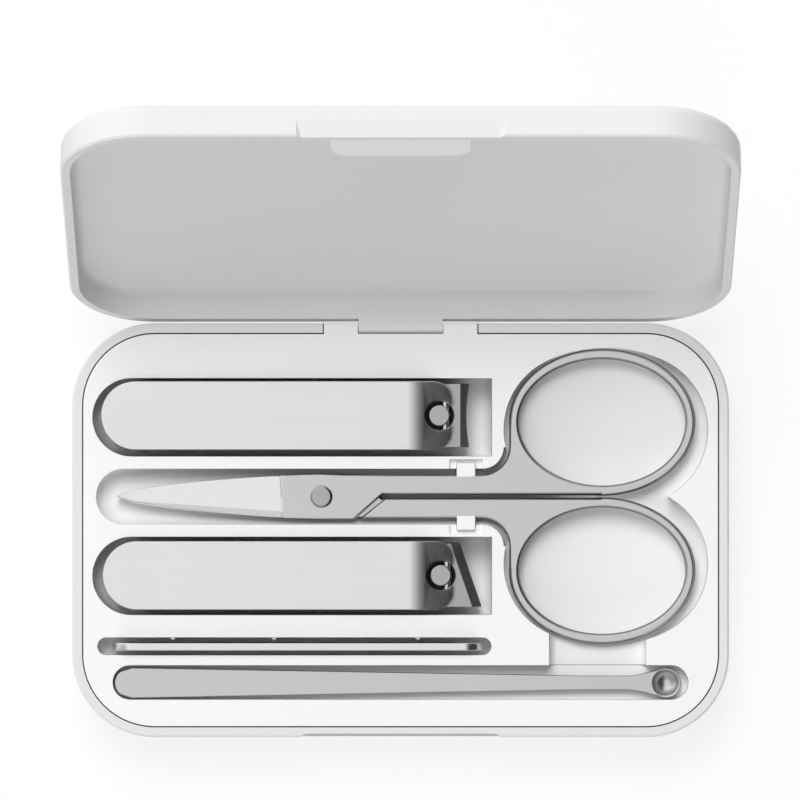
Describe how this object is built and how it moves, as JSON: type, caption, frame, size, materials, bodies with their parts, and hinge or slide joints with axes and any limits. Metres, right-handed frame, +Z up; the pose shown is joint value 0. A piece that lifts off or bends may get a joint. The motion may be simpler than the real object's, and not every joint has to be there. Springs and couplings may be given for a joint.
{
  "type": "manicure set case",
  "caption": "Hinged plastic travel case, shown open, whose moulded tray holds nail clippers, scissors, a nail file and an ear pick.",
  "frame": {"origin": "centre of the underside of the base", "axes": "+X towards the scissors' finger rings, +Y towards the hinge, +Z up"},
  "size_m": [0.107, 0.1008, 0.071],
  "materials": {
    "case_plastic": "fine matte moulded white",
    "tray_plastic": "smooth matte moulded white",
    "lever_steel": "satin stainless steel",
    "jaw_steel": "satin stainless steel",
    "pin_steel": "polished stainless steel",
    "scissor_steel": "satin stainless steel",
    "file_steel": "etched steel with a bright edge",
    "pick_steel": "satin stainless steel",
    "magnet_nickel": "nickel-plated magnet"
  },
  "bodies": {
    "case": {"base_shell": "case_plastic", "tool_tray": "tray_plastic", "scissor_snap_tabs": "tray_plastic", "hinge_pin": "pin_steel", "base_magnet": "magnet_nickel"},
    "lid": {"lid_shell": "case_plastic", "lid_magnet": "magnet_nickel", "lid_magnet_cover": "tray_plastic"},
    "straight_clipper": {"straight_lower_jaw": "jaw_steel", "straight_post": "pin_steel", "straight_heel_rivet": "pin_steel"},
    "straight_lever_arm": {"straight_lever": "lever_steel"},
    "straight_upper_leaf": {"straight_upper_jaw": "jaw_steel"},
    "slant_clipper": {"slant_lower_jaw": "jaw_steel", "slant_post": "pin_steel", "slant_heel_rivet": "pin_steel"},
    "slant_lever_arm": {"slant_lever": "lever_steel"},
    "slant_upper_leaf": {"slant_upper_jaw": "jaw_steel"},
    "scissors": {"scissor_half_upper": "scissor_steel", "scissor_half_lower": "scissor_steel", "scissor_pivot": "pin_steel"},
    "file": {"nail_file": "file_steel"},
    "pick": {"ear_pick": "pick_steel"}
  },
  "joints": [
    {"name": "lid_hinge", "type": "hinge", "parent": "case", "child": "lid", "pos_m": [0, 0.03309, 0.011], "axis": [-1, 0, 0], "range_deg": [-115, 0]},
    {"name": "straight_clipper_lift", "type": "slide", "parent": "case", "child": "straight_clipper", "axis": [0, 0, 1], "range_m": [0, 0.045]},
    {"name": "straight_lever_tilt", "type": "hinge", "parent": "straight_clipper", "child": "straight_lever_arm", "pos_m": [0.0073, 0.01867, 0.01135], "axis": [0, 1, 0], "range_deg": [0, 140]},
    {"name": "straight_jaw_squeeze", "type": "hinge", "parent": "straight_clipper", "child": "straight_upper_leaf", "pos_m": [-0.0421, 0.01867, 0.00484], "axis": [0, 1, 0], "range_deg": [0, 1.9], "stiffness_Nm_per_rad": 0.5},
    {"name": "slant_clipper_lift", "type": "slide", "parent": "case", "child": "slant_clipper", "axis": [0, 0, 1], "range_m": [0, 0.045]},
    {"name": "slant_lever_tilt", "type": "hinge", "parent": "slant_clipper", "child": "slant_lever_arm", "pos_m": [0.00755, -0.00737, 0.01135], "axis": [0, 1, 0], "range_deg": [0, 140]},
    {"name": "slant_jaw_squeeze", "type": "hinge", "parent": "slant_clipper", "child": "slant_upper_leaf", "pos_m": [-0.04185, -0.00737, 0.00484], "axis": [0, 1, 0], "range_deg": [0, 1.9], "stiffness_Nm_per_rad": 0.5},
    {"name": "scissor_lift", "type": "slide", "parent": "case", "child": "scissors", "axis": [0, 0, 1], "range_m": [0, 0.045], "deforming": ["scissor_snap_tabs"]},
    {"name": "file_lift", "type": "slide", "parent": "case", "child": "file", "axis": [0, 0, 1], "range_m": [0, 0.045]},
    {"name": "ear_pick_lift", "type": "slide", "parent": "case", "child": "pick", "axis": [0, 0, 1], "range_m": [0, 0.045]}
  ]
}
